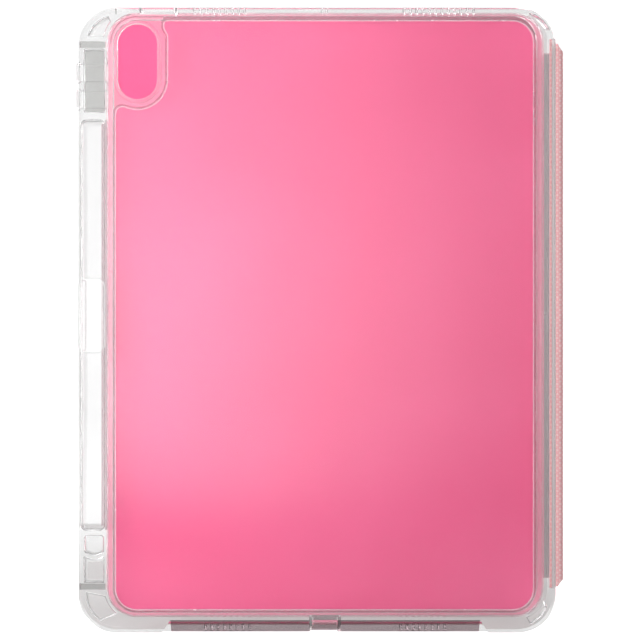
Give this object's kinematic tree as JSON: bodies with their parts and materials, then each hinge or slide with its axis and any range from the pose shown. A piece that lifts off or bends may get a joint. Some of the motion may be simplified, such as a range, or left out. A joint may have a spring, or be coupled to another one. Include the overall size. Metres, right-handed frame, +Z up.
{
  "type": "tablet case",
  "caption": "Clear-backed folio for a tablet: bumper with a side stylus channel and camera window, and a folding fabric cover hung on a hinged spine.",
  "frame": {"origin": "middle of the bottom edge that the case stands on", "axes": "+Z up the case's height, +Y from the clear back towards the cover, +X from the stylus channel towards the spine"},
  "size_m": [0.2006, 0.014, 0.2574],
  "materials": {
    "clear_hard": "clear polished rigid plastic",
    "clear_soft": "clear flexible plastic, glossy",
    "frosted_soft": "frosted flexible plastic, satin",
    "woven_fabric": "salmon-pink diamond-weave cloth",
    "soft_lining": "rose-pink brushed lining",
    "board": "stiff grey board",
    "magnet": "plated"
  },
  "bodies": {
    "shell": {"back_plate": "clear_hard", "bumper_frame": "clear_soft", "camera_guard": "frosted_soft", "stylus_bridge": "clear_soft", "spine_flange": "woven_fabric", "hinge_retainer": "clear_hard"},
    "volume_up": {"volume_up_button": "clear_soft"},
    "volume_down": {"volume_down_button": "clear_soft"},
    "spine": {"spine_skin": "woven_fabric", "spine_board": "board", "spine_lining": "soft_lining"},
    "panel_a": {"panel_a_skin": "woven_fabric", "panel_a_board": "board", "panel_a_lining": "soft_lining", "stand_strip": "magnet"},
    "panel_b": {"panel_b_skin": "woven_fabric", "panel_b_board": "board", "panel_b_lining": "soft_lining"},
    "panel_c": {"panel_c_skin": "woven_fabric", "panel_c_board": "board", "panel_c_lining": "soft_lining", "stand_magnet_top": "magnet", "stand_magnet_middle": "magnet", "stand_magnet_bottom": "magnet", "wake_magnet": "magnet"}
  },
  "joints": [
    {"name": "volume_up_press", "type": "slide", "parent": "shell", "child": "volume_up", "axis": [1, 0, 0], "range_m": [0, 0.0006], "stiffness_N_per_m": 2500},
    {"name": "volume_down_press", "type": "slide", "parent": "shell", "child": "volume_down", "axis": [1, 0, 0], "range_m": [0, 0.0006], "stiffness_N_per_m": 2500},
    {"name": "spine_hinge", "type": "hinge", "parent": "shell", "child": "spine", "pos_m": [0.10035, -0.0056, 0.13055], "axis": [0, 0, -1], "range_deg": [0, 150]},
    {"name": "cover_hinge", "type": "hinge", "parent": "spine", "child": "panel_a", "pos_m": [0.10035, 0.00705, 0.13055], "axis": [0, 0, -1], "range_deg": [0, 150]},
    {"name": "first_fold", "type": "hinge", "parent": "panel_a", "child": "panel_b", "pos_m": [0.03535, 0.00705, 0.1308], "axis": [0, 0, -1], "range_deg": [0, 118]},
    {"name": "second_fold", "type": "hinge", "parent": "panel_b", "child": "panel_c", "pos_m": [-0.02615, 0.00705, 0.1308], "axis": [0, 0, -1], "range_deg": [0, 118]}
  ],
  "couplings": [
    {"joint": "cover_hinge", "follows": "spine_hinge", "ratio": 1}
  ]
}
